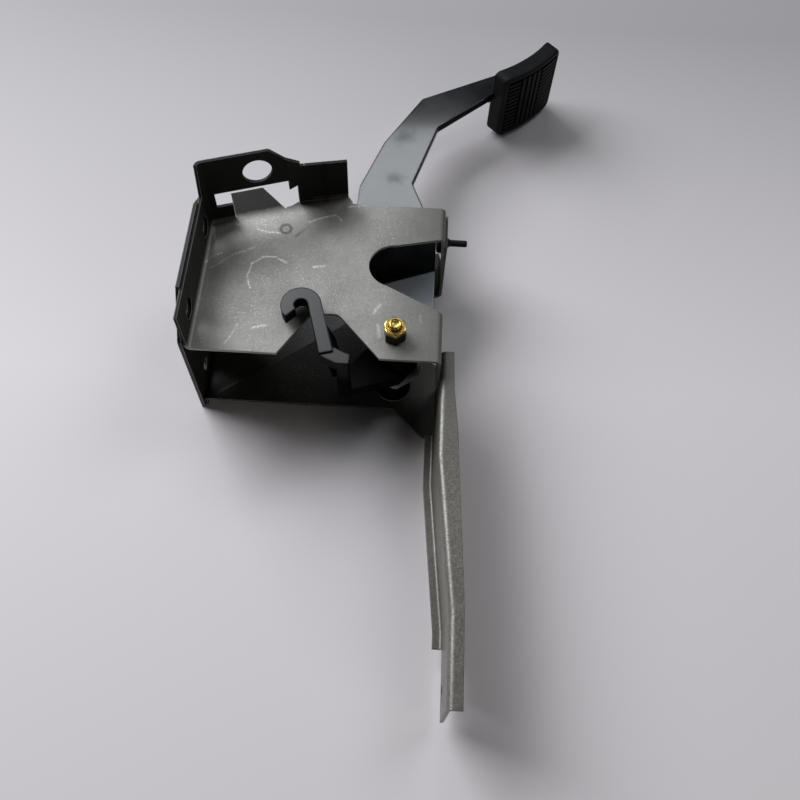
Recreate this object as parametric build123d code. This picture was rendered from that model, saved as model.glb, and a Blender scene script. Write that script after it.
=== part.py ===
from build123d import *
import os
from math import cos, radians, sin, tan

os.makedirs("parts", exist_ok=True)

# Frame: the pedal lies on its left side. The pivot axis is Z through the origin, the floor is z = 0,
# X points to the driver's side of the bracket and Y points from the pivot to the pad. Millimetres.

# Sheet and heights
sheet = 2.0
firewall_sheet = 2.3
bend_in = 2.0
bend_out = bend_in + sheet
far_top = 9.0
far_bottom = far_top - sheet
near_top = 75.0
near_bottom = near_top - sheet
floor_gap = 0.4

# Bracket outline in plan
left_x = -130.0
right_x = 30.0
bottom_y = -17.0
top_right_y = 106.0
wall_corner_y = 81.5
wall_angle = 18.0
rim_top = 107.5
firewall_top = 109.0

# Top wall of the right side plate
strip_top = 131.0
strip_bottom = 101.5
strip_length = 57.0
cable_hole_r = 9.5
cable_hole_along = 38.0
cable_hole_z = 115.0
tab_angle = 11.0
tab_length = 31.0
tab_top = 109.0
joggle_run = 10.0
joggle_angle = 42.0
window_left = 8.0
window_sill = 89.0
tongue_start = 18.5
tongue_end = 53.0
tongue_reach = 23.0
tongue_slant = 12.0

# Notches of the side plates
notch_end = (-3.0, 55.0)
notch_r = 17.0
mouth_low = 18.5
mouth_high = 79.0
hook_notch = [(-75.0, -17.0), (-54.0, 13.5), (-37.0, 14.5), (-6.0, -17.0)]
hook_notch_r = 7.0

# Flanges
upper_flange_bottom = 58.0
lower_flange_bottom = 42.0
stop_flange_top = 66.0
stop_flange_low_y = 79.0
stop_flange_high_y = 120.0

# Pivot
bolt_r = 4.0
bolt_clear = 0.2
head_across = 13.0
head_height = 5.3
washer_r = 8.5
washer_height = 1.7
nut_height = 12.0
thread_clear = 0.03
bolt_end_z = 92.0
sleeve_r = 7.0
run_clear = 0.05
bush_r = 9.5
bush_flange_r = 11.6
bush_flange = 2.0
bush_length = 14.0
thrust_clear = 0.3
tube_r = 12.0
weld_clear = 0.05

# Pedal arm
arm_bottom = 36.0
arm_thick = 6.0
arm_top = arm_bottom + arm_thick
arm_edge_x = 25.0

# Pedal stop
stop_y = 104.7
stop_z = 40.0
stop_head_r = 7.5
stop_neck_r = 3.0
stop_lip_r = 4.2
stop_tail_r = 2.4
stop_tail_x = 47.7
rest_gap = 0.3

# Cable hook
hook_top = 88.0
hook_depth = 8.5
hook_bottom = hook_top - hook_depth
hook_width = 8.4
hook_centre = (-59.5, 11.5)
hook_r = 8.6
lever_bottom = 43.0
lever_top = 51.0

# Pad
pad_angle = 43.5
pad_face_centre = (100.0, 269.0)
pad_radius = 120.0
pad_length = 62.0
pad_width = 59.0
pad_centre_z = 32.0
pad_front = 8.0
pad_plate_thick = 3.0
pad_lip = 2.6
pad_lip_reach = 5.0
pad_border = 3.0
pad_gap = 0.2
arm_slot = 0.5

# Strut
strut_sheet = 2.0
strut_bottom = far_top
strut_top = 62.0
strut_out_r = 4.0
strut_end_y = -219.0
strut_foot_y = -178.0
strut_hole_r = 4.5
strut_hole_y = -204.0
strut_hole_z = 20.0


def slab(points, z0, z1, radius=0.0):
    face = make_face(Polyline(*points, close=True))
    if radius > 0.0:
        face = fillet(face.vertices(), radius)
    return Pos(0, 0, z0) * extrude(face, z1 - z0)


def upright(radius, z0, z1):
    return Pos(0, 0, z0) * Cylinder(radius, z1 - z0, align=(Align.CENTER, Align.CENTER, Align.MIN))


def along_x(radius, x0, x1, y, z):
    rod = Cylinder(radius, x1 - x0, align=(Align.CENTER, Align.CENTER, Align.MIN))
    return Pos(x0, y, z) * Rot(0, 90, 0) * rod


def hexagon(across, z0, z1):
    face = RegularPolygon(across / 2, 6, major_radius=False)
    prism = Pos(0, 0, z0) * extrude(face, z1 - z0)
    crown = Pos(0, 0, z0) * Cylinder(across / 2 + 0.9, z1 - z0, align=(Align.CENTER, Align.CENTER, Align.MIN))
    crown = chamfer(crown.edges(), 0.8)
    return prism & crown


def box_between(low, high):
    size = [high[i] - low[i] for i in range(3)]
    return Pos(*low) * Box(*size, align=(Align.MIN, Align.MIN, Align.MIN))


def polar(start, angle, distance):
    return (start[0] + distance * cos(radians(angle)), start[1] + distance * sin(radians(angle)))


def bent_sheet(points, rounds, y0, y1):
    """Sheet section in XZ with its rounded bends, pulled along Y."""
    face = make_face(Polyline(*[(x, z) for x, z in points], close=True))
    for (x, z), radius in rounds:
        corner = face.vertices().sort_by_distance((x, z, 0))[0]
        face = fillet(corner, radius)
    solid = extrude(face, y1 - y0)
    return Pos(0, y1, 0) * Rot(90, 0, 0) * solid


def notch_cut(z0, z1):
    end = upright(notch_r, z0, z1)
    end = Pos(*notch_end, 0) * end
    x, y = notch_end
    mouth = [
        (x - 5.0, y - notch_r + 0.9),
        (right_x + 8.0, mouth_low - 3.4),
        (right_x + 8.0, mouth_high + 2.4),
        (x - 5.0, y + notch_r - 1.2),
    ]
    return end + slab(mouth, z0, z1)


# Right side plate: the near sheet with its rims, notches and folded top wall
wall_start = (left_x, wall_corner_y)
strip_end = polar(wall_start, wall_angle, strip_length)
joggle_end = polar(strip_end, joggle_angle, joggle_run)
tab_end = polar(joggle_end, tab_angle, tab_length)
plate_outline = [
    (left_x - 1.0, bottom_y),
    (right_x + 1.0, bottom_y),
    (right_x + 1.0, top_right_y),
    (tab_end[0] + 3.0, top_right_y),
    (tab_end[0] + 3.0, top_right_y + 2.0),
    (tab_end[0], tab_end[1] + 0.2),
    joggle_end,
    strip_end,
    (left_x - 1.0, wall_corner_y - 0.3),
]
near_section = [
    (left_x, rim_top),
    (left_x, near_bottom),
    (right_x - sheet, near_bottom),
    (right_x - sheet, lower_flange_bottom),
    (right_x, lower_flange_bottom),
    (right_x, near_top),
    (left_x + sheet, near_top),
    (left_x + sheet, rim_top),
]
near_rounds = [
    ((left_x, near_bottom), bend_out),
    ((left_x + sheet, near_top), bend_in),
    ((right_x, near_top), bend_out),
    ((right_x - sheet, near_bottom), bend_in),
]
near = bent_sheet(near_section, near_rounds, bottom_y, 150.0)
near &= slab(plate_outline, 0.0, 150.0)
near -= notch_cut(0.0, 150.0)
low_corner = [(x, y - 3.0 if y < 0 else y) for x, y in hook_notch]
hook_gap = make_face(Polyline(*low_corner, close=True))
upper_two = hook_gap.vertices().sort_by(Axis.Y)[-2:]
near -= Pos(0, 0, 60.0) * extrude(fillet(upper_two, hook_notch_r), 30.0)
near -= box_between((right_x - sheet - 3.0, 60.0, 0.0), (right_x + 1.0, 150.0, upper_flange_bottom))

rim_middle = left_x + sheet / 2
wall_middle = polar(wall_start, wall_angle + 90.0, sheet / 2)
corner_y = wall_middle[1] + (rim_middle - wall_middle[0]) * tan(radians(wall_angle))
wall_line = FilletPolyline(
    (rim_middle, wall_corner_y - 14.0),
    (rim_middle, corner_y),
    polar(strip_end, wall_angle + 90.0, sheet / 2),
    polar(joggle_end, wall_angle + 90.0, sheet / 2),
    polar(tab_end, tab_angle + 90.0, sheet / 2),
    radius=4.0,
)
wall = extrude(trace(wall_line, sheet), strip_top - near_bottom)
wall = Pos(0, 0, near_bottom) * wall


def on_wall(along, out, z):
    spot = polar(polar(wall_start, wall_angle, along), wall_angle + 90.0, out)
    return Pos(spot[0], spot[1], z) * Rot(0, 0, wall_angle)


low_corner_align = (Align.MIN, Align.CENTER, Align.MIN)
left_piece = Box(tongue_start - window_left, 12.0, strip_bottom - window_sill, align=low_corner_align)
wall -= on_wall(window_left, sheet / 2, window_sill) * left_piece
main_piece = Box(strip_length - tongue_start, 12.0, strip_bottom - near_top, align=low_corner_align)
wall -= on_wall(tongue_start, sheet / 2, near_top) * main_piece
under_piece = Box(tongue_end - tongue_start + 1.0, 12.0, 4.0, align=low_corner_align)
wall -= on_wall(tongue_start - 0.5, sheet / 2 + 6.0, near_bottom - 1.0) * under_piece
joggle_window = Box(6.5, 14.0, 18.0, align=low_corner_align)
wall -= on_wall(strip_length - 0.5, sheet / 2, near_top) * joggle_window
hole = Rot(90, 0, 0) * Cylinder(cable_hole_r, 20.0)
wall -= on_wall(cable_hole_along, sheet / 2, cable_hole_z) * hole
tab_sky = slab(
    [
        polar(joggle_end, tab_angle - 90.0, 12.0),
        polar(tab_end, tab_angle, 10.0),
        polar(polar(tab_end, tab_angle, 10.0), tab_angle + 90.0, 14.0),
        polar(joggle_end, tab_angle + 90.0, 14.0),
    ],
    tab_top,
    150.0,
)
wall -= tab_sky
slope = make_face(
    Polyline((strip_length - 10.0, strip_top + 0.1), (strip_length + 12.0, tab_top - 0.5),
             (strip_length + 12.0, strip_top + 9.0), (strip_length - 10.0, strip_top + 9.0), close=True)
)
slope_cut = Rot(90, 0, 0) * extrude(slope, 40.0)
wall -= on_wall(0.0, 20.0, 0.0) * slope_cut
rim_slope = make_face(
    Polyline((wall_corner_y - 40.0, rim_top), (wall_corner_y - 6.0, rim_top), (wall_corner_y - 1.0, strip_top + 1.0),
             (wall_corner_y - 40.0, strip_top + 1.0), close=True)
)
wall -= Pos(left_x - 3.0, 0, 0) * (Rot(0, 90, 0) * Rot(0, 0, 90) * extrude(rim_slope, 6.0))

tongue_points = [
    polar(polar(wall_start, wall_angle, tongue_start), wall_angle - 90.0, 4.0),
    polar(polar(wall_start, wall_angle, tongue_end + 1.0), wall_angle - 90.0, 4.0),
    polar(wall_start, wall_angle, tongue_end),
    polar(polar(wall_start, wall_angle, tongue_end - tongue_slant), wall_angle + 90.0, tongue_reach),
    polar(polar(wall_start, wall_angle, tongue_start), wall_angle + 90.0, tongue_reach),
]
right_side_plate = near + wall + slab(tongue_points, near_bottom, near_top)
right_side_plate -= upright(bolt_r + bolt_clear, 60.0, 90.0)

# Left side plate: the far sheet, flanged down at the firewall and up at the pedal stop
far_outline = [
    (left_x - 1.0, bottom_y),
    (1.0, bottom_y),
    (22.0, -38.0),
    (right_x, -38.0),
    (right_x, stop_flange_low_y),
    (right_x + sheet + 1.0, stop_flange_low_y),
    (right_x + sheet + 1.0, stop_flange_high_y),
    (-30.0, top_right_y),
    (left_x - 1.0, wall_corner_y - 4.0),
]
far_section = [
    (left_x, floor_gap),
    (left_x, far_top),
    (right_x, far_top),
    (right_x, stop_flange_top),
    (right_x + sheet, stop_flange_top),
    (right_x + sheet, far_bottom),
    (left_x + sheet, far_bottom),
    (left_x + sheet, floor_gap),
]
far_rounds = [
    ((left_x, far_top), bend_out),
    ((left_x + sheet, far_bottom), bend_in),
    ((right_x + sheet, far_bottom), bend_out),
    ((right_x, far_top), bend_in),
]
left_side_plate = bent_sheet(far_section, far_rounds, -60.0, 150.0) & slab(far_outline, -5.0, 100.0)
left_side_plate -= notch_cut(-5.0, 60.0)
left_side_plate -= box_between((right_x - 4.0, -60.0, far_top), (right_x + 5.0, stop_flange_low_y, 100.0))
left_side_plate -= upright(bolt_r + bolt_clear, 0.0, 20.0)
left_side_plate -= along_x(stop_neck_r + 0.1, right_x - 3.0, right_x + sheet + 3.0, stop_y, stop_z)

# Firewall plate, standing outside both rims
firewall_points = [(-19.0, 0.0), (82.0, 0.0), (82.0, 101.0), (69.0, firewall_top), (5.0, firewall_top), (-19.0, 83.0)]
bolt_rows = [(4.0, 20.0), (68.0, 20.0), (4.0, 88.0), (68.0, 88.0)]
firewall_face = make_face(Polyline(*firewall_points, close=True))
firewall_solid = Rot(0, 90, 0) * Rot(0, 0, 90) * extrude(firewall_face, firewall_sheet)
firewall_plate = Pos(left_x - firewall_sheet, 0, 0) * firewall_solid
for row_y, row_z in bolt_rows:
    firewall_plate -= along_x(4.5, left_x - 10.0, left_x + 0.5, row_y, row_z)
for row_y, row_z in bolt_rows[2:]:
    right_side_plate -= along_x(7.0, left_x - 1.0, left_x + 6.0, row_y, row_z)

# Strut: a Z section swept down its joggled line
web_lap = right_x + strut_sheet / 2
web_mid = right_x - 0.4 + strut_sheet / 2
web_low = 38.8 + strut_sheet / 2
strut_line = FilletPolyline(
    (web_lap, -1.0), (web_lap, -24.0), (web_mid, -36.0), (web_mid, -74.0), (web_low, -168.0), (web_low, strut_end_y),
    radius=25.0,
)
half = strut_sheet / 2
z_section = [
    (-half, strut_top), (14.0, strut_top), (14.0, strut_top - strut_sheet), (half, strut_top - strut_sheet),
    (half, strut_bottom), (-7.0, strut_bottom), (-7.0, strut_bottom + strut_sheet), (-half, strut_bottom + strut_sheet),
]
z_face = make_face(Polyline(*z_section, close=True))
for spot, radius in [
    ((-half, strut_top), strut_out_r),
    ((half, strut_top - strut_sheet), strut_out_r - strut_sheet),
    ((half, strut_bottom), strut_out_r),
    ((-half, strut_bottom + strut_sheet), strut_out_r - strut_sheet),
]:
    z_corner = z_face.vertices().sort_by_distance((*spot, 0))[0]
    z_face = fillet(z_corner, radius)
start_plane = Plane(origin=(web_lap, -1.0, 0), x_dir=(1, 0, 0), z_dir=(0, -1, 0))
strut = sweep(start_plane * z_face, path=strut_line)
flange_keep = slab(
    [(10.0, 2.0), (38.6, 2.0), (39.4, -28.0), (42.4, -60.0), (43.2, -80.0), (47.6, -165.0), (47.6, -240.0), (10.0, -240.0)],
    0.0, 90.0,
)
strut &= flange_keep
foot_cut = slab([(10.0, strut_foot_y), (web_low - half, strut_foot_y), (web_low - half, -240.0), (10.0, -240.0)], 0.0, 30.0)
strut -= foot_cut
strut -= box_between((10.0, -37.0, 0.0), (right_x - 0.4, 5.0, 30.0))
strut -= along_x(strut_hole_r, 20.0, 60.0, strut_hole_y, strut_hole_z)

# Pivot hardware
pivot_washer = upright(washer_r, far_bottom - washer_height, far_bottom)
pivot_washer -= upright(bolt_r + bolt_clear, 0.0, 20.0)
head_top = far_bottom - washer_height
pivot_bolt = hexagon(head_across, head_top - head_height, head_top) + upright(bolt_r, head_top, bolt_end_z)
pivot_bolt = chamfer(pivot_bolt.edges().sort_by(Axis.Z)[-1], 0.8)
pivot_nut = hexagon(head_across, near_top, near_top + nut_height)
pivot_nut -= upright(bolt_r + thread_clear, 60.0, 100.0)
pivot_sleeve = upright(sleeve_r, far_top, near_bottom) - upright(bolt_r + bolt_clear, 0.0, 90.0)
tube_low = far_top + thrust_clear + bush_flange
tube_high = near_bottom - thrust_clear - bush_flange
pivot_tube = upright(tube_r, tube_low, tube_high) - upright(bush_r, 0.0, 90.0)
bush = upright(bush_r, tube_low, tube_low + bush_length) + upright(bush_flange_r, tube_low - bush_flange, tube_low)
bush -= upright(sleeve_r + run_clear, 0.0, 90.0)
lower_bush = bush
upper_bush = Pos(0, 0, far_top + near_bottom) * Rot(180, 0, 0) * bush

# Pedal arm
arm_points = [
    (arm_edge_x, 40.0), (arm_edge_x, 112.0), (15.0, 134.0), (5.7, 158.0), (23.6, 218.0), (70.0, 254.0),
    (100.0, 277.0), (94.0, 294.0), (9.8, 248.0), (-17.9, 198.5), (-33.7, 153.0), (-36.0, 105.0), (-16.0, 10.0),
    (0.0, -19.0), (18.0, -6.0),
]
pedal_arm = slab(arm_points, arm_bottom, arm_top, 5.0)
pedal_arm -= upright(tube_r + weld_clear, 0.0, 90.0)

# Pad: plate and rubber are concentric arcs about the foot's side
pad_normal = pad_angle - 90.0
arc_centre = polar(pad_face_centre, pad_normal + 180.0, pad_radius)


def arc_slab(inner, outer, half_length, z0, z1):
    ring = upright(outer, z0, z1) - upright(inner, z0, z1)
    cut = box_between((inner - 30.0, -half_length, z0 - 1.0), (outer + 5.0, half_length, z1 + 1.0))
    return Pos(arc_centre[0], arc_centre[1], 0) * Rot(0, 0, pad_normal) * (ring & cut)


pad_low = pad_centre_z - pad_width / 2
pad_high = pad_centre_z + pad_width / 2
plate_front = pad_radius - pad_front
plate_back = plate_front - pad_plate_thick
half_pad = pad_length / 2
pad_plate = arc_slab(plate_back, plate_front, half_pad - pad_border, pad_low + pad_border, pad_high - pad_border)
pad_rubber = arc_slab(plate_back - pad_lip, pad_radius, half_pad, pad_low, pad_high)
pad_rubber = fillet(pad_rubber.edges().filter_by(GeomType.CIRCLE).group_by(SortBy.LENGTH)[-1], 1.5)
pocket_half = half_pad - pad_border + pad_gap
pad_rubber -= arc_slab(plate_back - pad_gap, plate_front + pad_gap, pocket_half,
                       pad_low + pad_border - pad_gap, pad_high - pad_border + pad_gap)
pad_rubber -= arc_slab(plate_back - 20.0, plate_back, half_pad - pad_border - pad_lip_reach,
                       pad_low + pad_border + pad_lip_reach, pad_high - pad_border - pad_lip_reach)
pad_rubber -= slab(arm_points, arm_bottom - arm_slot, arm_top + arm_slot)
pedal_arm -= arc_slab(plate_back, pad_radius + 20.0, half_pad + 15.0, 0.0, 100.0)

# Cable hook
tip = polar(hook_centre, 227.0, hook_r)
top_of_hook = polar(hook_centre, 120.0, hook_r)
stem_start = polar(hook_centre, 16.3, hook_r)
curl = ThreePointArc(tip, top_of_hook, stem_start)
stem = Line(stem_start, (-40.8, -22.0))
bar = trace(Wire([curl, stem]), hook_width)
cable_hook = Pos(0, 0, hook_bottom) * extrude(bar, hook_depth)
knee = slab([(-46.2, -19.0), (-38.0, -17.0), (-26.5, -22.5), (-26.5, -29.0), (-34.5, -29.0), (-45.0, -24.0)],
            hook_bottom, hook_top - 1.0, 1.5)
riser = slab([(-34.5, -29.0), (-26.5, -29.0), (-26.5, -21.5), (-34.5, -21.5)], lever_bottom, hook_top - 1.0, 1.5)
lever = slab([(-34.5, -29.0), (-26.0, -27.0), (4.0, -17.0), (16.0, -2.0), (6.0, 15.0), (-14.0, 10.0), (-34.5, -17.0)],
             lever_bottom, lever_top, 2.0)
lever -= upright(tube_r + weld_clear, 0.0, 90.0)
rib_top = Pos(0, 0, hook_bottom + 2.0) * make_face(
    Polyline((-50.0, 7.0), (-47.0, 8.0), (-38.5, -21.0), (-42.0, -21.0), close=True))
rib_foot = Pos(0, 0, 57.0) * make_face(
    Polyline((-47.0, 4.0), (-39.0, 8.0), (-30.0, -18.0), (-38.0, -22.0), close=True))
rib = loft([rib_top, rib_foot])
cable_hook += knee + riser + lever + rib

# Rubber pedal stop in the left side plate's flange
stop_face_x = arm_edge_x + rest_gap
flange_out = right_x + sheet
stop_rubber = along_x(stop_head_r, stop_face_x, right_x, stop_y, stop_z)
stop_rubber += along_x(stop_neck_r, right_x, flange_out, stop_y, stop_z)
stop_rubber += along_x(stop_lip_r, flange_out, flange_out + 3.0, stop_y, stop_z)
stop_rubber += along_x(stop_tail_r, flange_out + 3.0, stop_tail_x, stop_y, stop_z)

nodes = {
    "right_side_plate": right_side_plate,
    "left_side_plate": left_side_plate,
    "firewall_plate": firewall_plate,
    "strut": strut,
    "pivot_bolt": pivot_bolt,
    "pivot_washer": pivot_washer,
    "pivot_nut": pivot_nut,
    "pivot_sleeve": pivot_sleeve,
    "pivot_tube": pivot_tube,
    "lower_bush": lower_bush,
    "upper_bush": upper_bush,
    "pedal_arm": pedal_arm,
    "cable_hook": cable_hook,
    "pad_plate": pad_plate,
    "pad_rubber": pad_rubber,
    "stop_rubber": stop_rubber,
}
for name, shape in nodes.items():
    solids = shape.solids()
    print(name, len(solids), [round(s.volume) for s in solids])
    export_step(Compound(children=solids, label=name) if len(solids) > 1 else solids[0], f"parts/{name}.step")
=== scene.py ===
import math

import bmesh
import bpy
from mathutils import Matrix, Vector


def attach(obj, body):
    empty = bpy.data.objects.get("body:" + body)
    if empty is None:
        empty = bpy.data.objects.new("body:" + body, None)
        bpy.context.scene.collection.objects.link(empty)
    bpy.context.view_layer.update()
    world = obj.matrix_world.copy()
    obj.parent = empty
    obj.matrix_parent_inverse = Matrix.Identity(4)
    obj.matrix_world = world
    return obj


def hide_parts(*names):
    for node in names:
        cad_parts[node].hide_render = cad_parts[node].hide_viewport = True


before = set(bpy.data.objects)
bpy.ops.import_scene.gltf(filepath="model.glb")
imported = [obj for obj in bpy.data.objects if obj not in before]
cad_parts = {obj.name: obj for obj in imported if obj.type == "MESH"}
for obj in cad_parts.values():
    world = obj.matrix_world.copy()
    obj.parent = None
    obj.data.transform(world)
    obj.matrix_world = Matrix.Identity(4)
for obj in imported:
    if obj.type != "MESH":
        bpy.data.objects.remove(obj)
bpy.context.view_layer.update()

# %% [markdown]
# A clutch pedal on its side
#
# The object is a cable clutch pedal: a bracket folded from bare steel sheet, a strut, a painted arm that
# swings on a bolt, a hook for the cable and a ribbed rubber foot pad. The frame above already holds every
# rigid piece in its place, in metres. This script gives those pieces their finishes, and makes the few
# pieces again whose surface is finer than a solid model should hold: the hook, the arm, the far plate, the
# tread, the nut, the bolt and the stop.

MM = 0.001

# %% [markdown]
# How the finishes are written
#
# Colours are picked as sRGB hex values, as an eye reads them on a screen, and turned to linear light in one
# place. A texture's scale in Blender counts repeats per metre, so a real size in millimetres is turned into
# that number. One function adds a node with its settings and links, so that a material reads from top to
# bottom.

# %% Helpers for materials
def to_linear(hex_colour):
    parts = [int(hex_colour[i:i + 2], 16) / 255 for i in (1, 3, 5)]
    linear = [p / 12.92 if p <= 0.04045 else ((p + 0.055) / 1.055) ** 2.4 for p in parts]
    return (*linear, 1.0)


def per_metre(size_mm):
    return 1000.0 / size_mm


def add(tree, kind, inputs=None, stops=None, **settings):
    node = tree.nodes.new(kind)
    for name, value in settings.items():
        setattr(node, name, value)
    if stops:
        marks = node.color_ramp.elements
        marks.remove(marks[1])
        for position, colour in stops:
            mark = marks[0] if position == stops[0][0] else marks.new(position)
            mark.position = position
            mark.color = to_linear(colour)
    for name, value in (inputs or {}).items():
        if isinstance(value, bpy.types.NodeSocket):
            tree.links.new(value, node.inputs[name])
        else:
            node.inputs[name].default_value = value
    return node


def new_material(name):
    finish = bpy.data.materials.new(name)
    finish.use_nodes = True
    tree = finish.node_tree
    tree.nodes.clear()
    shader = add(tree, "ShaderNodeBsdfPrincipled")
    add(tree, "ShaderNodeOutputMaterial", {"Surface": shader.outputs["BSDF"]})
    place = add(tree, "ShaderNodeTexCoord").outputs["Object"]
    return finish, tree, shader, place


# %% [markdown]
# Bare rolled steel
#
# The two side plates and the firewall plate are cold-rolled sheet, left bare. Rolling leaves a fine grain
# along the sheet, oil and handling leave soft clouds, and the press leaves bright specks and scratches. The
# real grain is finer than a pixel of the picture, so it is drawn about a millimetre wide, to show. The metal
# is dull, so it shades a little like grey paint, with a wide soft highlight.

# %% Bare rolled steel
# heights on the standing walls between which the painted shade comes in
WALL_ROOT = (75.6 * MM, 79.0 * MM)
# the way that the tongue points, and the reach along it, in millimetres, where its painted shade comes in
TONGUE_WAY = (-0.309, 0.951, 0.0)
TONGUE_ROOT = (113.0, 122.0)
# places across the plate between which the side beside the bolt grows darker, as painted shade
DARKER_SIDE = (-20.0 * MM, 24.0 * MM)


def rolled_steel(name, dark, light, scratches, rings, wall_shade_amount, speckle):
    finish, tree, shader, place = new_material(name)
    fine = (per_metre(0.9), per_metre(20.0), per_metre(20.0))
    grain_place = add(tree, "ShaderNodeMapping", {"Vector": place, "Scale": fine})
    grain = add(tree, "ShaderNodeTexNoise", {"Vector": grain_place.outputs[0], "Scale": 1.0, "Detail": 4.0})
    cloud = add(tree, "ShaderNodeTexNoise",
                {"Vector": place, "Scale": per_metre(30.0), "Detail": 6.0, "Roughness": 0.6})
    mottle = add(tree, "ShaderNodeTexNoise",
                 {"Vector": place, "Scale": per_metre(2.6), "Detail": 5.0, "Roughness": 0.7})
    blend = add(tree, "ShaderNodeMix", {0: 0.15, 2: cloud.outputs[0], 3: grain.outputs[0]})
    blend = add(tree, "ShaderNodeMix", {0: 0.35, 2: blend.outputs[0], 3: mottle.outputs[0]})
    tone = add(tree, "ShaderNodeValToRGB", {0: blend.outputs[0]}, stops=[(0.36, dark), (0.64, light)])

    # small bright specks, gathered in patches
    speck = add(tree, "ShaderNodeTexNoise", {"Vector": place, "Scale": per_metre(1.1), "Detail": 2.0})
    specks = add(tree, "ShaderNodeMapRange", {0: speck.outputs[0], 1: 0.58, 2: 0.70})
    patch = add(tree, "ShaderNodeTexNoise", {"Vector": place, "Scale": per_metre(26.0), "Detail": 2.0})
    patches = add(tree, "ShaderNodeMapRange", {0: patch.outputs[0], 1: 0.38, 2: 0.62, 4: speckle})
    wear_and_edge_highlight = add(tree, "ShaderNodeMath", {0: specks.outputs[0], 1: patches.outputs[0]},
               operation="MULTIPLY").outputs[0]

    # single scratches, broken up by a fine noise
    flat = add(tree, "ShaderNodeMapping", {"Vector": place, "Scale": (1000.0, 1000.0, 0.0)}).outputs[0]
    wobble = add(tree, "ShaderNodeTexNoise", {"Vector": place, "Scale": per_metre(4.0), "Detail": 3.0})
    shaken = add(tree, "ShaderNodeVectorMath", {0: wobble.outputs["Color"], 1: (0.5, 0.5, 0.5)},
                 operation="SUBTRACT")
    flat = add(tree, "ShaderNodeVectorMath", {0: shaken.outputs[0], 1: (2.4, 2.4, 0.0), 2: flat},
               operation="MULTIPLY_ADD").outputs[0]
    broken = add(tree, "ShaderNodeMapRange", {0: speck.outputs[0], 1: 0.34, 2: 0.58})
    lines = None
    for start, end, width, power in scratches:
        run = Vector((end[0] - start[0], end[1] - start[1], 0.0))
        rel = add(tree, "ShaderNodeVectorMath", {0: flat, 1: (*start, 0.0)}, operation="SUBTRACT")
        part = add(tree, "ShaderNodeVectorMath", {0: rel.outputs[0], 1: run / run.length_squared},
                   operation="DOT_PRODUCT")
        share = add(tree, "ShaderNodeMath", {0: part.outputs["Value"], 1: 0.0}, operation="ADD",
                    use_clamp=True)
        foot = add(tree, "ShaderNodeVectorMath", {0: run, "Scale": share.outputs[0]}, operation="SCALE")
        gap = add(tree, "ShaderNodeVectorMath", {0: rel.outputs[0], 1: foot.outputs[0]}, operation="DISTANCE")
        line = add(tree, "ShaderNodeMapRange",
                   {0: gap.outputs["Value"], 1: 0.2 * width, 2: width, 3: power, 4: 0.0})
        if lines is None:
            lines = line.outputs[0]
        else:
            lines = add(tree, "ShaderNodeMath", {0: lines, 1: line.outputs[0]},
                        operation="MAXIMUM").outputs[0]
    if lines:
        lines = add(tree, "ShaderNodeMath", {0: lines, 1: broken.outputs[0]}, operation="MULTIPLY").outputs[0]
        wear_and_edge_highlight = add(tree, "ShaderNodeMath", {0: wear_and_edge_highlight, 1: lines}, operation="MAXIMUM").outputs[0]

    # cut edges get a painted highlight
    soft = add(tree, "ShaderNodeBevel", {"Radius": 0.8 * MM}, samples=4)
    face = add(tree, "ShaderNodeNewGeometry")
    bend = add(tree, "ShaderNodeVectorMath", {0: soft.outputs[0], 1: face.outputs["Normal"]},
               operation="DOT_PRODUCT")
    edge = add(tree, "ShaderNodeMapRange", {0: bend.outputs["Value"], 1: 0.99, 2: 0.85, 4: 0.6})
    wear_and_edge_highlight = add(tree, "ShaderNodeMath", {0: wear_and_edge_highlight, 1: edge.outputs[0]}, operation="MAXIMUM").outputs[0]
    # the colour mixes the real specks and scratches with the painted edge highlight
    colour = add(tree, "ShaderNodeMix", {0: wear_and_edge_highlight, 6: tone.outputs[0], 7: to_linear("#efefea")},
                 data_type="RGBA").outputs[2]

    # spot welds leave a dark ring round a lighter dimple
    for spot, radius, width, power in rings:
        step = add(tree, "ShaderNodeVectorMath", {0: flat, 1: (*spot, 0.0)}, operation="DISTANCE")
        ring = add(tree, "ShaderNodeMath", {0: step.outputs["Value"], 1: radius}, operation="SUBTRACT")
        ring = add(tree, "ShaderNodeMath", {0: ring.outputs[0]}, operation="ABSOLUTE")
        ring = add(tree, "ShaderNodeMapRange", {0: ring.outputs[0], 1: 0.0, 2: width, 3: power, 4: 0.0})
        colour = add(tree, "ShaderNodeMix", {0: ring.outputs[0], 6: colour, 7: to_linear("#383835")},
                     data_type="RGBA").outputs[2]

    # the standing walls and the tongue lie in shade, so they get a near-black painted shade
    height = add(tree, "ShaderNodeSeparateXYZ", {0: place})
    painted_wall_shade = add(tree, "ShaderNodeMapRange", {0: height.outputs["Z"], 1: WALL_ROOT[0], 2: WALL_ROOT[1], 4: wall_shade_amount})
    reach = add(tree, "ShaderNodeVectorMath", {0: flat, 1: TONGUE_WAY}, operation="DOT_PRODUCT")
    tongue = add(tree, "ShaderNodeMapRange",
                 {0: reach.outputs["Value"], 1: TONGUE_ROOT[0], 2: TONGUE_ROOT[1], 4: wall_shade_amount})
    painted_wall_shade = add(tree, "ShaderNodeMath", {0: painted_wall_shade.outputs[0], 1: tongue.outputs[0]}, operation="MAXIMUM")
    off_edge = add(tree, "ShaderNodeMath", {0: 1.0, 1: edge.outputs[0]}, operation="SUBTRACT")
    painted_wall_shade = add(tree, "ShaderNodeMath", {0: painted_wall_shade.outputs[0], 1: off_edge.outputs[0]}, operation="MULTIPLY")
    colour = add(tree, "ShaderNodeMix", {0: painted_wall_shade.outputs[0], 6: colour, 7: to_linear("#131211")},
                 data_type="RGBA").outputs[2]
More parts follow.
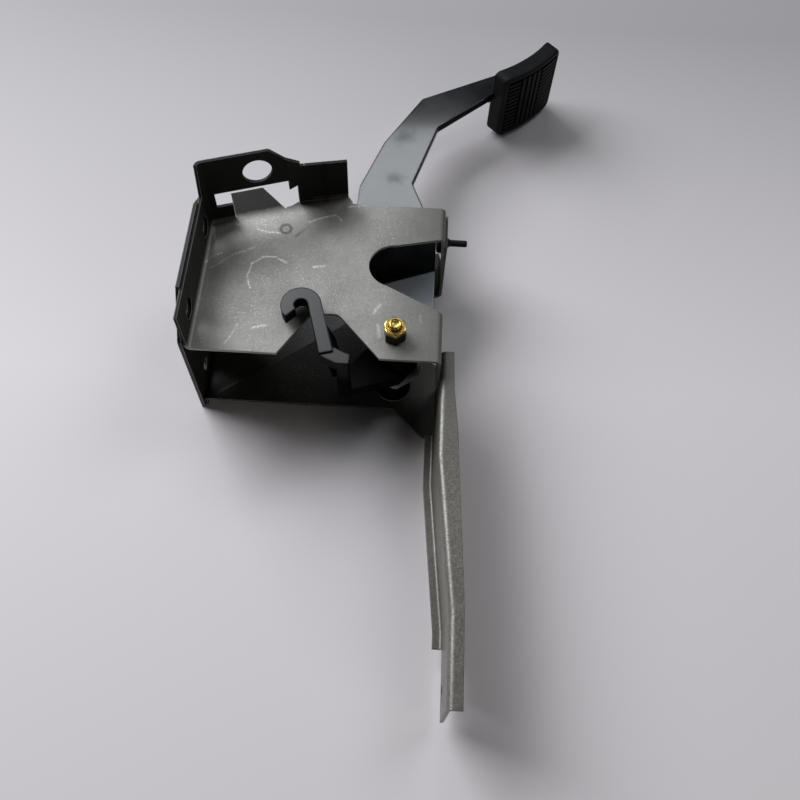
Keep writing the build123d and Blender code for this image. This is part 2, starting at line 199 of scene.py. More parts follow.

    # the side beside the bolt reads darker; the amount is set
    # painted shade: the colour grows darker towards the side beside the bolt, where the light falls off
    darker = add(tree, "ShaderNodeMapRange",
                 {0: height.outputs["X"], 1: DARKER_SIDE[0], 2: DARKER_SIDE[1], 4: 0.72})
    colour = add(tree, "ShaderNodeMix", {0: darker.outputs[0], 6: colour, 7: to_linear("#55554f")},
                 data_type="RGBA").outputs[2]
    rough = add(tree, "ShaderNodeMapRange", {0: blend.outputs[0], 1: 0.3, 2: 0.7, 3: 0.62, 4: 0.50})
    bump = add(tree, "ShaderNodeBump",
               {"Height": blend.outputs[0], "Distance": 0.02 * MM, "Strength": 0.4,
                "Normal": soft.outputs[0]})
    tree.links.new(colour, shader.inputs["Base Color"])
    tree.links.new(rough.outputs[0], shader.inputs["Roughness"])
    tree.links.new(bump.outputs[0], shader.inputs["Normal"])
    gleam = add(tree, "ShaderNodeMapRange", {0: painted_wall_shade.outputs[0], 3: 0.5, 4: 0.15})
    tree.links.new(gleam.outputs[0], shader.inputs["Specular IOR Level"])
    shader.inputs["Metallic"].default_value = 0.45
    return finish


# scratches on the near face: polylines of points, width and strength, in millimetres
rubbed = [
    ([(-95.5, 30.7), (-98.7, 40.1), (-96.9, 50.8), (-90.3, 56.2), (-81.8, 56.8), (-74.0, 52.4)], 1.0, 0.9),
    ([(-96.7, 79.3), (-89.7, 77.3), (-81.5, 77.0)], 0.9, 0.8),
    ([(-62.4, 87.9), (-52.6, 92.9), (-46.0, 95.2), (-40.8, 90.3)], 1.0, 0.9),
    ([(-123.0, 44.9), (-110.9, 56.4), (-96.7, 64.1)], 1.0, 0.6),
    ([(-127.0, 49.5), (-122.7, 55.5), (-117.7, 57.6)], 0.9, 0.7),
    ([(-14.3, 17.6), (-10.8, 23.2)], 1.8, 0.6),
    ([(-11.1, 7.9), (-9.9, -1.0)], 1.8, 0.6),
    ([(-105.4, -11.8), (-99.8, 1.9)], 0.9, 0.6),
    ([(-90.1, 0.3), (-82.3, 3.1)], 1.1, 0.8),
    ([(-56.6, 50.3), (-49.5, 51.7)], 1.1, 0.8),
    ([(-37.7, 102.9), (-25.4, 104.7)], 0.9, 0.8),
    ([(-126.5, 79.8), (-124.0, 68.0)], 0.9, 0.6),
    ([(15.2, 17.3), (16.1, 11.2)], 0.9, 0.6),
]
near_scratches = [(a, b, width, power) for points, width, power in rubbed for a, b in zip(points, points[1:])]
# spot welds and one smear: centre, radius, width and strength, in millimetres
weld_rings = [((-77.9, 80.7), 3.4, 2.0, 0.8), ((-77.9, 80.7), 0.0, 1.2, 0.6), ((-53.0, 108.0), 0.0, 3.5, 0.6)]
weld_rings += [((-70.5 + 1.5 * i, 75.6 + 1.45 * i), 0.0, 1.9 - 0.2 * i, 0.6) for i in range(6)]
bare_steel = rolled_steel("cold_rolled_steel_bare", "#8f8f88", "#aaaaa3", near_scratches, weld_rings, 0.96,
                          0.5)
# the far plate and the firewall plate get the same bare steel painted much darker: painted shade, as they lie
# in the bracket's shade
shaded_steel = rolled_steel("cold_rolled_steel_bare_shaded", "#2b2a27", "#383733", [], [], 0.3, 0.1)
print("bare steel has", len(bare_steel.node_tree.nodes), "nodes and", len(near_scratches), "scratches")

# %% [markdown]
# Galvanised strut
#
# The strut was pressed from zinc-coated strip. The coat is pale grey and has small crystals, which catch
# the light one by one, so the roughness and the tone change from cell to cell.

# %% Galvanised steel
# places along the strut between which its upper end grows darker
STRUT_FADE = (-120.0 * MM, -20.0 * MM)


def galvanised_steel():
    finish, tree, shader, place = new_material("galvanised_steel_pressed")
    cells = add(tree, "ShaderNodeTexVoronoi", {"Vector": place, "Scale": per_metre(0.9)})
    cloud = add(tree, "ShaderNodeTexNoise", {"Vector": place, "Scale": per_metre(20.0), "Detail": 4.0})
    crystal = add(tree, "ShaderNodeSeparateColor", {0: cells.outputs["Color"]})
    blend = add(tree, "ShaderNodeMix", {0: 0.5, 2: cloud.outputs[0], 3: crystal.outputs[0]})
    tone = add(tree, "ShaderNodeValToRGB", {0: blend.outputs[0]}, stops=[(0.3, "#75746d"), (0.72, "#88877f")])
    height = add(tree, "ShaderNodeSeparateXYZ", {0: place})
    # the upper end reads darker; the amount is set
    darker = add(tree, "ShaderNodeMapRange",
                 {0: height.outputs["Y"], 1: STRUT_FADE[0], 2: STRUT_FADE[1], 4: 0.6})
    tone = add(tree, "ShaderNodeMix", {0: darker.outputs[0], 6: tone.outputs[0], 7: to_linear("#55544f")},
               data_type="RGBA")
    rough = add(tree, "ShaderNodeMapRange", {0: crystal.outputs[1], 3: 0.34, 4: 0.5})
    soft = add(tree, "ShaderNodeBevel", {"Radius": 0.8 * MM}, samples=4)
    bump = add(tree, "ShaderNodeBump",
               {"Height": crystal.outputs[2], "Distance": 0.06 * MM, "Strength": 0.5,
                "Normal": soft.outputs[0]})
    tree.links.new(tone.outputs[2], shader.inputs["Base Color"])
    tree.links.new(rough.outputs[0], shader.inputs["Roughness"])
    tree.links.new(bump.outputs[0], shader.inputs["Normal"])
    shader.inputs["Metallic"].default_value = 0.7
    return finish


zinc_strip = galvanised_steel()
print("strut finish:", zinc_strip.name)

# %% [markdown]
# Black stoving paint
#
# The arm and the hook are dipped in black gloss paint. It is nearly black by itself, and what the eye sees
# is the reflection of a window. Thick dipped paint dries in small waves, the orange peel, about two
# millimetres apart. Inside the bracket the arm reads black, and pale below a slanting line. The cause is
# hidden, so this is drawn as a dull band with its gloss taken away, as painted shade, and a pale part, as a
# painted reflection, and the cut edges are drawn dull too.

# %% Black gloss paint
# the way across the dull band of painted shade, and the reach along it, in millimetres, where the band fades
# at each side
BAND_WAY = Vector((-0.3635, 0.9317, 0.0))
BAND_START = (63.5, 62.0)
BAND_END = (108.0, 112.0)
# places between which the pale painted reflection comes in, and heights between which the paint gets its
# gloss back
PALE_SIDE = (-20.0 * MM, -17.0 * MM)
LEVER_TOP = (66.0 * MM, 74.0 * MM)
# smudges on the arm: centre and radius, in millimetres
SMUDGES = [((7.7, 215.5, 42.0), 11.0), ((2.3, 171.8, 42.0), 9.0)]


def gloss_paint(name, shade_and_reflection, sheen, coat_sheen):
    finish, tree, shader, place = new_material(name)
    peel = add(tree, "ShaderNodeTexNoise", {"Vector": place, "Scale": per_metre(2.2), "Detail": 2.0})
    dust = add(tree, "ShaderNodeTexNoise",
               {"Vector": place, "Scale": per_metre(14.0), "Detail": 5.0, "Roughness": 0.65})
    tone = add(tree, "ShaderNodeValToRGB", {0: dust.outputs[0]}, stops=[(0.4, "#0b0c0d"), (0.75, "#141617")])
    rough = add(tree, "ShaderNodeMapRange", {0: dust.outputs[0], 1: 0.35, 2: 0.75, 3: sheen, 4: 1.6 * sheen})
    soft = add(tree, "ShaderNodeBevel", {"Radius": 1.8 * MM}, samples=6)
    bump = add(tree, "ShaderNodeBump",
               {"Height": peel.outputs[0], "Distance": 0.05 * MM, "Strength": 0.3,
                "Normal": soft.outputs[0]})

    # the cut edges read dark, so the gloss is taken away there
    facing = add(tree, "ShaderNodeSeparateXYZ", {0: soft.outputs[0]})
    upward = add(tree, "ShaderNodeMath", {0: facing.outputs["Z"]}, operation="ABSOLUTE")
    flat_top = add(tree, "ShaderNodeMapRange", {0: upward.outputs[0], 1: 0.88, 2: 0.99, 3: 0.06, 4: 1.0})
    across = add(tree, "ShaderNodeSeparateXYZ", {0: place})

    # the dull band inside the bracket, painted shade with its gloss taken away, and the pale part below it, a
    # painted reflection
    reach = add(tree, "ShaderNodeVectorMath", {0: place, 1: BAND_WAY / MM}, operation="DOT_PRODUCT")
    past = add(tree, "ShaderNodeMapRange",
               {0: reach.outputs["Value"], 1: BAND_END[0], 2: BAND_END[1], 3: 1.0 - shade_and_reflection})
    before = add(tree, "ShaderNodeMapRange",
                 {0: reach.outputs["Value"], 1: BAND_START[0], 2: BAND_START[1]})
    glossy = add(tree, "ShaderNodeMath", {0: past.outputs[0], 1: before.outputs[0]}, operation="MAXIMUM")
    glossy = add(tree, "ShaderNodeMath", {0: glossy.outputs[0], 1: flat_top.outputs[0]}, operation="MULTIPLY")

    # two dull smudges on the flat of the arm
    hazy = add(tree, "ShaderNodeVectorMath", {0: dust.outputs["Color"], 1: (0.02, 0.02, 0.0), 2: place},
               operation="MULTIPLY_ADD")
    for spot, radius in SMUDGES:
        away = add(tree, "ShaderNodeVectorMath", {0: hazy.outputs[0], 1: Vector(spot) * MM},
                   operation="DISTANCE")
        wiped = add(tree, "ShaderNodeMapRange",
                    {0: away.outputs["Value"], 1: 0.2 * radius * MM, 2: radius * MM, 3: 0.6, 4: 1.0})
        glossy = add(tree, "ShaderNodeMath", {0: glossy.outputs[0], 1: wiped.outputs[0]},
                     operation="MULTIPLY")

    # the lever under the near plate reads dull too: painted shade, with the gloss taken away under the plate
    under = add(tree, "ShaderNodeMapRange",
                {0: across.outputs["Z"], 1: LEVER_TOP[0], 2: LEVER_TOP[1], 3: max(shade_and_reflection, 0.12)})
    glossy = add(tree, "ShaderNodeMath", {0: glossy.outputs[0], 1: under.outputs[0]}, operation="MULTIPLY")
    level = add(tree, "ShaderNodeMath", {0: glossy.outputs[0], 1: 0.5}, operation="MULTIPLY")
    # painted reflection: a pale colour below the slanting line inside the bracket
    inner = add(tree, "ShaderNodeMapRange",
                {0: across.outputs["X"], 1: PALE_SIDE[0], 2: PALE_SIDE[1], 4: 0.85 * shade_and_reflection})
    pale_reflection = add(tree, "ShaderNodeMath", {0: before.outputs[0], 1: inner.outputs[0]}, operation="MULTIPLY")
    tone = add(tree, "ShaderNodeMix", {0: pale_reflection.outputs[0], 6: tone.outputs[0], 7: to_linear("#98a0a4")},
               data_type="RGBA")
    tree.links.new(tone.outputs[2], shader.inputs["Base Color"])
    tree.links.new(rough.outputs[0], shader.inputs["Roughness"])
    tree.links.new(bump.outputs[0], shader.inputs["Normal"])
    tree.links.new(level.outputs[0], shader.inputs["Specular IOR Level"])
    tree.links.new(glossy.outputs[0], shader.inputs["Coat Weight"])
    shader.inputs["IOR"].default_value = 1.52
    shader.inputs["Coat Roughness"].default_value = coat_sheen
    return finish


black_paint = gloss_paint("black_stoving_paint_dipped", 0.0, 0.34, 0.32)
arm_paint = gloss_paint("black_stoving_paint_pale_reflection", 1.0, 0.13, 0.07)
print("paint finishes:", black_paint.name, arm_paint.name)

# %% [markdown]
# Yellow zinc, rubber, nylon and turned steel
#
# The bolt, the washer and the nut are zinc plated and passivated, which gives a gold colour with a faint
# shift to green and rose. The sides of the nut read dark, so they are drawn with painted shade. The pad and
# the stop are moulded black rubber, dull and slightly grey with dust, and its grit is drawn coarser than it
# is, to show.

# %% Small finishes
# heights on the nut between which its painted shade comes in
NUT_SHADE = (86.0 * MM, 83.0 * MM)


def yellow_zinc(name, side_shade):
    finish, tree, shader, place = new_material(name)
    shift = add(tree, "ShaderNodeTexNoise", {"Vector": place, "Scale": per_metre(5.0), "Detail": 3.0})
    tone = add(tree, "ShaderNodeValToRGB", {0: shift.outputs[0]},
               stops=[(0.3, "#b9a24a"), (0.5, "#e0c878"), (0.7, "#c99a5c")])
    soft = add(tree, "ShaderNodeBevel", {"Radius": 0.35 * MM}, samples=4)
    height = add(tree, "ShaderNodeSeparateXYZ", {0: place})
    # painted shade: the sides of the nut, below its top, are darkened
    nut_shade = add(tree, "ShaderNodeMapRange",
               {0: height.outputs["Z"], 1: NUT_SHADE[0], 2: NUT_SHADE[1], 4: side_shade})
    tone = add(tree, "ShaderNodeMix", {0: nut_shade.outputs[0], 6: tone.outputs[0], 7: to_linear("#171109")},
               data_type="RGBA")
    tree.links.new(tone.outputs[2], shader.inputs["Base Color"])
    tree.links.new(soft.outputs[0], shader.inputs["Normal"])
    shader.inputs["Metallic"].default_value = 1.0
    shader.inputs["Roughness"].default_value = 0.27
    return finish


def moulded_rubber(name, dark, light, grit_mm):
    finish, tree, shader, place = new_material(name)
    grit = add(tree, "ShaderNodeTexNoise", {"Vector": place, "Scale": per_metre(grit_mm), "Detail": 4.0})
    dust = add(tree, "ShaderNodeTexNoise", {"Vector": place, "Scale": per_metre(16.0), "Detail": 4.0})
    tone = add(tree, "ShaderNodeValToRGB", {0: dust.outputs[0]}, stops=[(0.35, dark), (0.7, light)])
    rough = add(tree, "ShaderNodeMapRange", {0: grit.outputs[0], 3: 0.5, 4: 0.7})
    bump = add(tree, "ShaderNodeBump", {"Height": grit.outputs[0], "Distance": 0.08 * MM, "Strength": 0.4})
    tree.links.new(tone.outputs[0], shader.inputs["Base Color"])
    tree.links.new(rough.outputs[0], shader.inputs["Roughness"])
    tree.links.new(bump.outputs[0], shader.inputs["Normal"])
    shader.inputs["Specular IOR Level"].default_value = 0.16
    return finish


def plain_finish(name, dark, light, grain_mm, metallic, roughness):
    finish, tree, shader, place = new_material(name)
    grain = add(tree, "ShaderNodeTexNoise", {"Vector": place, "Scale": per_metre(grain_mm), "Detail": 3.0})
    tone = add(tree, "ShaderNodeValToRGB", {0: grain.outputs[0]}, stops=[(0.3, dark), (0.7, light)])
    tree.links.new(tone.outputs[0], shader.inputs["Base Color"])
    shader.inputs["Metallic"].default_value = metallic
    shader.inputs["Roughness"].default_value = roughness
    return finish


gold_zinc = yellow_zinc("yellow_zinc_plate", 0.0)
shaded_zinc = yellow_zinc("yellow_zinc_plate_shaded", 1.0)
pad_black = moulded_rubber("black_rubber_moulded", "#090b0b", "#101313", 0.9)
stop_black = moulded_rubber("black_rubber_stop", "#17191a", "#222526", 0.7)
nylon = plain_finish("nylon_moulded_natural", "#c6c1b2", "#d8d3c5", 6.0, 0.0, 0.45)
turned = plain_finish("steel_turned", "#8c8c8a", "#a5a5a2", 0.8, 0.9, 0.35)
print("small finishes:", gold_zinc.name, pad_black.name, stop_black.name, nylon.name, turned.name)

# %% Finishes on the solid pieces
finishes = {
    "right_side_plate": bare_steel,
    "firewall_plate": shaded_steel,
    "strut": zinc_strip,
    "pivot_washer": gold_zinc,
    "pivot_sleeve": turned,
    "pivot_tube": black_paint,
    "lower_bush": nylon,
    "upper_bush": nylon,
    "pad_plate": black_paint,
}
for node_name, finish in finishes.items():
    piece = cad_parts[node_name]
    piece.data.materials.clear()
    piece.data.materials.append(finish)
print("finished", len(finishes), "solid pieces")

# %% [markdown]
# Rounded edges
#
# The hook is forged and the arm is cut from plate, and dipped paint rounds both further. A copy of each
# solid's mesh is merged, cleaned to its plain faces and bevelled along every sharp edge, so that the paint
# can catch the light there. The far plate gets the small round of a cut sheet. Weighted normals keep the
# large faces flat to the eye.

# %% Pieces with rounded edges
# an edge that turns by more than this is rounded
SHARP = math.radians(35.0)
# the stop flange lies right of this place and ends at this height, in millimetres
FLANGE_SIDE = 29.0
FLANGE_TOP = 107.0
# the heights of the arm's two faces, and the ends of its straight right edge, in millimetres
ARM_FACES = (36.0, 42.0)
ARM_BEND = Vector((24.9, 219.0))
PAD_END = Vector((69.5, 260.0))
# the box that holds the corners of the step in that edge, and the share of the edge where they go
STEP_X = (50.0, 68.0)
STEP_Y = (244.0, 259.0)
STEP_SHARE = 0.88


def rounded_copy(node_name, name, radius_mm, finish, body, reshape=None):
    cage = bmesh.new()
    cage.from_mesh(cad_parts[node_name].data)
    bmesh.ops.remove_doubles(cage, verts=cage.verts[:], dist=0.01 * MM)
    bmesh.ops.dissolve_limit(cage, angle_limit=math.radians(0.5), verts=cage.verts[:], edges=cage.edges[:])
    if reshape:
        reshape(cage)
    sharp = [e for e in cage.edges if e.is_manifold and e.calc_face_angle(0.0) > SHARP]
    bmesh.ops.bevel(cage, geom=sharp, offset=radius_mm * MM, segments=3, profile=0.5, affect="EDGES",
                    clamp_overlap=True)
    bmesh.ops.recalc_face_normals(cage, faces=cage.faces[:])
    mesh = bpy.data.meshes.new(name)
    cage.to_mesh(mesh)
    cage.free()
    for polygon in mesh.polygons:
        polygon.use_smooth = True
        polygon.material_index = 0
    mesh.materials.append(finish)
    piece = bpy.data.objects.new(name, mesh)
    bpy.context.collection.objects.link(piece)
    even = piece.modifiers.new("even_faces", "WEIGHTED_NORMAL")
    even.weight = 100
    shaded = piece.evaluated_get(bpy.context.evaluated_depsgraph_get())
    mesh = bpy.data.meshes.new_from_object(shaded)
    piece.modifiers.clear()
    piece.data = mesh
    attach(piece, body)
    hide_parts(node_name)
    print(name, "has", len(mesh.polygons), "faces")


# the stop flange ends behind the corner of the near plate
def shorten_flange(cage):
    for corner in cage.verts:
        if corner.co.x > FLANGE_SIDE * MM:
            corner.co.y = min(corner.co.y, FLANGE_TOP * MM)


# the arm's right edge runs straight on to the lower end of the pad
def straighten_arm(cage):
    for level in ARM_FACES:
        step = [c for c in cage.verts if abs(c.co.z / MM - level) < 0.1]
        step = [c for c in step if STEP_X[0] < c.co.x / MM < STEP_X[1]]
        step = [c for c in step if STEP_Y[0] < c.co.y / MM < STEP_Y[1]]
        for place, corner in enumerate(sorted(step, key=lambda c: c.co.y)):
            share = STEP_SHARE + (1.0 - STEP_SHARE) * place / len(step)
            corner.co.xy = ARM_BEND.lerp(PAD_END, share) * MM


rounded_copy("cable_hook", "forged_hook", 1.3, black_paint, "pedal")
rounded_copy("left_side_plate", "far_side_plate", 0.2, shaded_steel, "bracket", shorten_flange)
rounded_copy("pedal_arm", "dipped_arm", 0.7, arm_paint, "pedal", straighten_arm)

# %% [markdown]
# The rubber pad
#
# The pad is a moulded cap of rubber pulled over the steel pad plate. It is easiest to draw flat: loops of
# the same rounded rectangle, each pulled in or raised a little, make the lip, the wall, the raised border
# and the sunk floor. The flat cap is then cut into narrow strips and wrapped round the arc that the pad
# plate follows.

# %% Pad sizes, in millimetres and degrees
PAD_RADIUS = 120.0
PAD_ANGLE = 43.5
PAD_FACE = (100.0, 269.0)
PAD_LENGTH = 62.0
PAD_WIDTH = 59.0
PAD_MIDDLE_Z = 32.0
CORNER_RADIUS = 6.0
LEAST_RADIUS = 1.2
STRIP_WIDTH = 1.5
pad_normal = math.radians(PAD_ANGLE - 90.0)
arc_centre = (PAD_FACE[0] - PAD_RADIUS * math.cos(pad_normal),
              PAD_FACE[1] - PAD_RADIUS * math.sin(pad_normal))


def wrap(point):
    along, across, height = point
    out = math.sqrt((PAD_RADIUS + height) ** 2 - along ** 2)
    x = arc_centre[0] + out * math.cos(pad_normal) - along * math.sin(pad_normal)
    y = arc_centre[1] + out * math.sin(pad_normal) + along * math.cos(pad_normal)
    return Vector((x, y, PAD_MIDDLE_Z + across)) * MM


def rounded_rectangle(half_length, half_width, radius, steps=6):
    corners = [(1, 1, 0), (-1, 1, 90), (-1, -1, 180), (1, -1, 270)]
    points = []
    for sign_x, sign_y, start in corners:
        for i in range(steps + 1):
            turn = math.radians(start + 90.0 * i / steps)
            x = sign_x * (half_length - radius) + radius * math.cos(turn)
            y = sign_y * (half_width - radius) + radius * math.sin(turn)
            points.append((x, y))
    return points


def skin_loops(cage, loops):
    rows = []
    for inset, height in loops:
        radius = max(CORNER_RADIUS - inset, LEAST_RADIUS)
        ring = rounded_rectangle(PAD_LENGTH / 2 - inset, PAD_WIDTH / 2 - inset, radius)
        rows.append([cage.verts.new((x, y, height)) for x, y in ring])
    for lower, upper in zip(rows, rows[1:]):
        for i in range(len(lower)):
            j = (i + 1) % len(lower)
            cage.faces.new((lower[i], lower[j], upper[j], upper[i]))
    cage.faces.new(rows[-1])
    cage.faces.new(list(reversed(rows[0])))


def cut_strips(cage, low, high, step):
    spot = low
    while spot < high:
        everything = cage.verts[:] + cage.edges[:] + cage.faces[:]
        bmesh.ops.bisect_plane(cage, geom=everything, plane_co=(spot, 0, 0), plane_no=(1, 0, 0))
        spot += step


# from the hollow below, round the lip and up the wall, over the border and down to the sunk floor:
# how far each loop is pulled in, and its height
pad_loops = [
    (3.4, -7.8), (3.4, -11.2), (8.0, -11.2), (8.0, -13.4), (1.4, -13.6), (0.4, -13.0), (0.0, -12.0),
    (0.0, -2.2), (0.35, -0.9), (1.1, -0.2), (2.0, 0.0), (3.6, 0.0), (4.3, -0.3), (4.7, -1.0), (4.9, -2.2),
]
pad_cage = bmesh.new()
skin_loops(pad_cage, pad_loops)
cut_strips(pad_cage, -PAD_LENGTH / 2 + STRIP_WIDTH, PAD_LENGTH / 2, STRIP_WIDTH)
print("pad cap:", len(pad_cage.faces), "faces before its ribs")

# %% [markdown]
# The tread
#
# Three blocks of ribs stand on the sunk floor: short ribs along the pad at both ends and long ribs across
# it in the middle. A row of equal bars is work for Geometry Nodes: a line of points, one bar on each point,
# made real at the end.

# %% Tread ribs with Geometry Nodes
def rib_row_tree():
    tree = bpy.data.node_groups.new("tread_rib_row", "GeometryNodeTree")
    tree.interface.new_socket("Geometry", in_out="OUTPUT", socket_type="NodeSocketGeometry")
    sockets = (("Count", "NodeSocketInt"), ("Pitch", "NodeSocketVector"), ("Start", "NodeSocketVector"),
               ("Bar", "NodeSocketVector"), ("Rubber", "NodeSocketMaterial"))
    for name, kind in sockets:
        tree.interface.new_socket(name, in_out="INPUT", socket_type=kind)
    given = add(tree, "NodeGroupInput").outputs
    line = add(tree, "GeometryNodeMeshLine",
               {"Count": given["Count"], "Start Location": given["Start"], "Offset": given["Pitch"]})
    bar = add(tree, "GeometryNodeMeshCube",
              {"Size": given["Bar"], "Vertices X": 9, "Vertices Y": 3, "Vertices Z": 2})
    rows = add(tree, "GeometryNodeInstanceOnPoints", {"Points": line.outputs[0], "Instance": bar.outputs[0]})
    real = add(tree, "GeometryNodeRealizeInstances", {"Geometry": rows.outputs[0]})
    painted = add(tree, "GeometryNodeSetMaterial", {"Geometry": real.outputs[0], "Material": given["Rubber"]})
    add(tree, "NodeGroupOutput", {"Geometry": painted.outputs[0]})
    return tree


rib_tree = rib_row_tree()


def rib_row(name, count, pitch, start, bar):
    holder = bpy.data.objects.new(name, bpy.data.meshes.new(name))
    bpy.context.collection.objects.link(holder)
    modifier = holder.modifiers.new("ribs", "NODES")
    modifier.node_group = rib_tree
    given = {"Count": count, "Pitch": pitch, "Start": start, "Bar": bar, "Rubber": pad_black}
    for item in rib_tree.interface.items_tree:
        if item.item_type == "SOCKET" and item.in_out == "INPUT":
            modifier[item.identifier] = given[item.name]
    bpy.context.view_layer.update()
    shape = holder.evaluated_get(bpy.context.evaluated_depsgraph_get())
    mesh = bpy.data.meshes.new_from_object(shape)
    bpy.data.objects.remove(holder)
    return mesh


RIB_HEIGHT = 2.2
RIB_MIDDLE = -1.2
END_RIBS = 12
END_PITCH = 3.9
END_THICK = 2.3
first_rib = -END_PITCH * (END_RIBS - 1) / 2
rows = [
    rib_row("near_end_ribs", END_RIBS, (0, END_PITCH, 0), (-20.6, first_rib, RIB_MIDDLE),
            (10.6, END_THICK, RIB_HEIGHT)),
    rib_row("far_end_ribs", END_RIBS, (0, END_PITCH, 0), (16.8, first_rib, RIB_MIDDLE),
            (17.6, END_THICK, RIB_HEIGHT)),
    rib_row("middle_ribs", 4, (5.4, 0, 0), (-11.6, 0, RIB_MIDDLE), (3.2, 47.5, RIB_HEIGHT)),
]
for mesh in rows:
    pad_cage.from_mesh(mesh)
for vertex in pad_cage.verts:
    vertex.co = wrap(vertex.co)
bmesh.ops.recalc_face_normals(pad_cage, faces=pad_cage.faces[:])
pad_mesh = bpy.data.meshes.new("pad_tread")
pad_cage.to_mesh(pad_mesh)
pad_cage.free()
pad_mesh.materials.clear()
pad_mesh.materials.append(pad_black)
for polygon in pad_mesh.polygons:
    polygon.material_index = 0
pad_tread = bpy.data.objects.new("pad_tread", pad_mesh)
bpy.context.collection.objects.link(pad_tread)
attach(pad_tread, "pedal")
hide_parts("pad_rubber")
print("pad with tread:", len(pad_mesh.polygons), "faces")

# %% [markdown]
# Bolt, nut and stop
#
# These are turned or pressed shapes, so each is a stack of rings. A hexagon with a turned chamfer is a ring
# whose radius is the smaller of the hexagon and the cone, and a thread is a ring whose radius follows the
# helix.

# %% Turned shapes, in millimetres and radians
HEX_ACROSS = 13.0
NUT_TURN = 0.35
THREAD_PITCH = 1.25
THREAD_DEPTH = 0.54
THREAD_START = 70.0
THREAD_STEP = 0.25
STOP_PLACE = (104.7, 40.0)


def hexagon_reach(angle, across):
    part = math.fmod(angle + 4 * math.pi, math.pi / 3) - math.pi / 6
    return across / 2 / math.cos(part)


def turned_piece(name, rings, sides, reach, place, finish, body, node_name):
    cage = bmesh.new()
    rows = []
    for ring in rings:
        row = []
        for i in range(sides):
            angle = 2 * math.pi * i / sides
            radius = reach(ring, angle)
            row.append(cage.verts.new(place(radius * math.cos(angle), radius * math.sin(angle),
                                            ring[1]) * MM))
        rows.append(row)
    for lower, upper in zip(rows, rows[1:]):
        for i in range(sides):
            j = (i + 1) % sides
            cage.faces.new((lower[i], lower[j], upper[j], upper[i]))
    cage.faces.new(rows[-1])
    cage.faces.new(list(reversed(rows[0])))
    bmesh.ops.recalc_face_normals(cage, faces=cage.faces[:])
    mesh = bpy.data.meshes.new(name)
    cage.to_mesh(mesh)
    cage.free()
    mesh.materials.append(finish)
    piece = bpy.data.objects.new(name, mesh)
    bpy.context.collection.objects.link(piece)
    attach(piece, body)
    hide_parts(node_name)
    print(name, "has", len(mesh.polygons), "faces")


def upright(x, y, z):
    return Vector((x, y, z))


def nut_reach(ring, angle):
    return min(ring[0], hexagon_reach(angle + NUT_TURN, HEX_ACROSS)) if ring[2] else ring[0]


# each ring: radius, height and form, where 0 is round, 1 is a hexagon and 2 is thread
nut_rings = [(6.4, 75.0, 1), (7.6, 75.7, 1), (7.6, 86.1, 1), (6.9, 86.7, 1), (6.2, 87.0, 0), (4.7, 87.0, 0),
             (4.1, 86.4, 0), (4.1, 75.2, 0), (5.0, 75.0, 0)]
turned_piece("hexagon_nut", nut_rings, 96, nut_reach, upright, shaded_zinc, "bracket", "pivot_nut")


def bolt_reach(ring, angle):
    radius, z, form = ring
    if form == 1:
        return min(radius, hexagon_reach(angle, HEX_ACROSS))
    if form == 2:
        tooth = math.fmod(z / THREAD_PITCH - angle / (2 * math.pi) + 100.0, 1.0)
        return radius - THREAD_DEPTH * (1.0 - abs(2.0 * tooth - 1.0))
    return radius


bolt_rings = [(5.9, 0.0, 1), (7.5, 0.9, 1), (7.5, 5.3, 1), (4.6, 5.3, 0), (4.0, 5.6, 0),
              (4.0, THREAD_START, 0)]
bolt_rings += [(4.0, THREAD_START + THREAD_STEP * i, 2) for i in range(1, 66)]
bolt_rings += [(3.9, 87.2, 0), (3.9, 89.3, 0), (3.5, 89.8, 0), (3.1, 90.0, 0), (2.6, 89.7, 0),
               (2.2, 88.9, 0), (0.8, 88.7, 0)]
turned_piece("hinge_bolt", bolt_rings, 64, bolt_reach, upright, gold_zinc, "bracket", "pivot_bolt")


def sideways(x, y, along):
    return Vector((along, STOP_PLACE[0] + x, STOP_PLACE[1] + y))


def plain_reach(ring, angle):
    return ring[0]


# each ring: radius and place along the stop
stop_rings = [(3.5, 25.3), (6.2, 25.6), (7.2, 26.6), (7.5, 28.2), (7.4, 29.8), (3.0, 30.0), (3.0, 32.0),
              (4.2, 32.1), (4.1, 33.0), (2.6, 35.0)]
stop_rings += [(2.4, 36.0), (2.4, 46.6), (2.1, 47.4), (1.2, 47.7)]
turned_piece("stop_buffer", stop_rings, 40, plain_reach, sideways, stop_black, "bracket", "stop_rubber")

# %% [markdown]
# Floor, light and camera
#
# The pedal lies on a plain pale sheet. One large soft window stands behind and to the left, so that the
# shadows fall forward and to the right. A narrow strip of sky behind is what the painted arm mirrors, and
# two weaker lamps fill the shadows. The camera looks down steeply from the front.

# %% Floor
floor_finish, floor_tree, floor_shader, floor_place = new_material("pale_sheet_floor")
floor_cloud = add(floor_tree, "ShaderNodeTexNoise",
                  {"Vector": floor_place, "Scale": per_metre(420.0), "Detail": 3.0})
floor_where = add(floor_tree, "ShaderNodeSeparateXYZ", {0: floor_place})
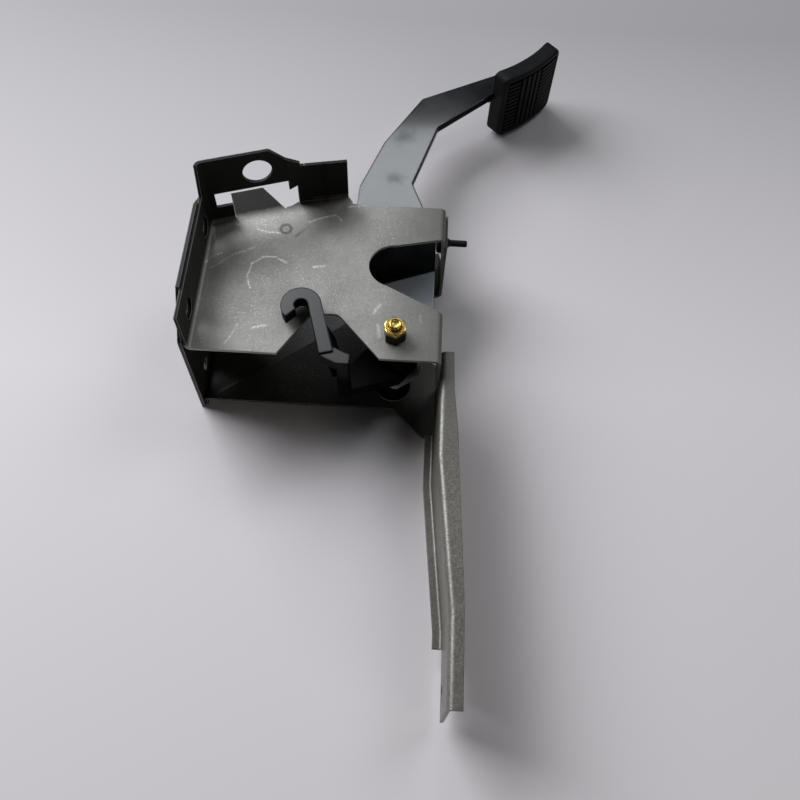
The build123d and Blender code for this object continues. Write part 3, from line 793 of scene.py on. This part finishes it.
# painted shade: the floor grows darker towards the back
floor_back_shade = add(floor_tree, "ShaderNodeMapRange", {0: floor_where.outputs["Y"], 1: -0.25, 2: 0.45})
floor_step = add(floor_tree, "ShaderNodeMath",
                 {0: floor_cloud.outputs[0], 1: 0.06, 2: floor_back_shade.outputs[0]}, operation="MULTIPLY_ADD")
floor_stops = [(0.0, "#e6e3e3"), (0.40, "#e3e0e0"), (0.96, "#a9a8a8")]
floor_tone = add(floor_tree, "ShaderNodeValToRGB", {0: floor_step.outputs[0]}, stops=floor_stops)
floor_tree.links.new(floor_tone.outputs[0], floor_shader.inputs["Base Color"])
floor_shader.inputs["Roughness"].default_value = 0.7
floor_cage = bmesh.new()
bmesh.ops.create_grid(floor_cage, x_segments=2, y_segments=2, size=3.0)
floor_mesh = bpy.data.meshes.new("pale_floor")
floor_cage.to_mesh(floor_mesh)
floor_cage.free()
floor_mesh.materials.append(floor_finish)
floor = bpy.data.objects.new("pale_floor", floor_mesh)
floor.location.z = -0.2 * MM
bpy.context.collection.objects.link(floor)

# %% Light
world = bpy.data.worlds.new("soft_room")
bpy.context.scene.world = world
world.use_nodes = True
world.node_tree.nodes["Background"].inputs[0].default_value = to_linear("#dfe2e8")
world.node_tree.nodes["Background"].inputs[1].default_value = 0.02


def soft_window(name, place, aim, size, power, colour):
    lamp = bpy.data.lights.new(name, "AREA")
    lamp.shape = "RECTANGLE"
    lamp.size, lamp.size_y = size
    lamp.energy = power
    lamp.color = to_linear(colour)[:3]
    holder = bpy.data.objects.new(name, lamp)
    holder.location = place
    holder.rotation_euler = (Vector(aim) - Vector(place)).to_track_quat("-Z", "Y").to_euler()
    bpy.context.collection.objects.link(holder)


def on_dome(turn, height, distance=2.2):
    turn, height = math.radians(turn), math.radians(height)
    return (distance * math.cos(turn) * math.cos(height), distance * math.sin(turn) * math.cos(height),
            distance * math.sin(height))


# each lamp: turn and height in degrees, aim, size in metres, power in watts and colour
middle = (0.0, 0.02, 0.0)
soft_window("window", on_dome(143.0, 39.0), middle, (1.7, 1.3), 51.0, "#f8f8ff")
soft_window("sky_back", on_dome(97.0, 46.4), middle, (0.75, 0.42), 3.8, "#eff5f8")
soft_window("sky_right", on_dome(42.0, 52.0), middle, (1.0, 1.0), 9.0, "#f8f8ff")
soft_window("room_front", on_dome(324.0, 30.0), middle, (1.0, 1.0), 3.5, "#fff6ee")

# %% Camera
EYE_PLACE = Vector((5.5, -280.6, 518.0)) * MM
FOCAL_PIXELS = 830.0
PICTURE_PIXELS = 800.0
SENSOR = 36.0
tilt = math.radians(28.0)
roll = math.radians(3.24)
ahead = Vector((0.0, math.sin(tilt), -math.cos(tilt)))
level = Vector((1.0, 0.0, 0.0))
above = level.cross(ahead)
right = level * math.cos(roll) + above * math.sin(roll)
up = above * math.cos(roll) - level * math.sin(roll)
camera = bpy.data.cameras.new("photo_view")
camera.sensor_width = SENSOR
camera.lens = SENSOR * FOCAL_PIXELS / PICTURE_PIXELS
camera.clip_start = 0.01
eye = bpy.data.objects.new("photo_view", camera)
eye.matrix_world = Matrix((
    (right.x, up.x, -ahead.x, EYE_PLACE.x),
    (right.y, up.y, -ahead.y, EYE_PLACE.y),
    (right.z, up.z, -ahead.z, EYE_PLACE.z),
    (0.0, 0.0, 0.0, 1.0),
))
bpy.context.collection.objects.link(eye)
bpy.context.scene.camera = eye
bpy.context.scene.view_settings.view_transform = "Standard"
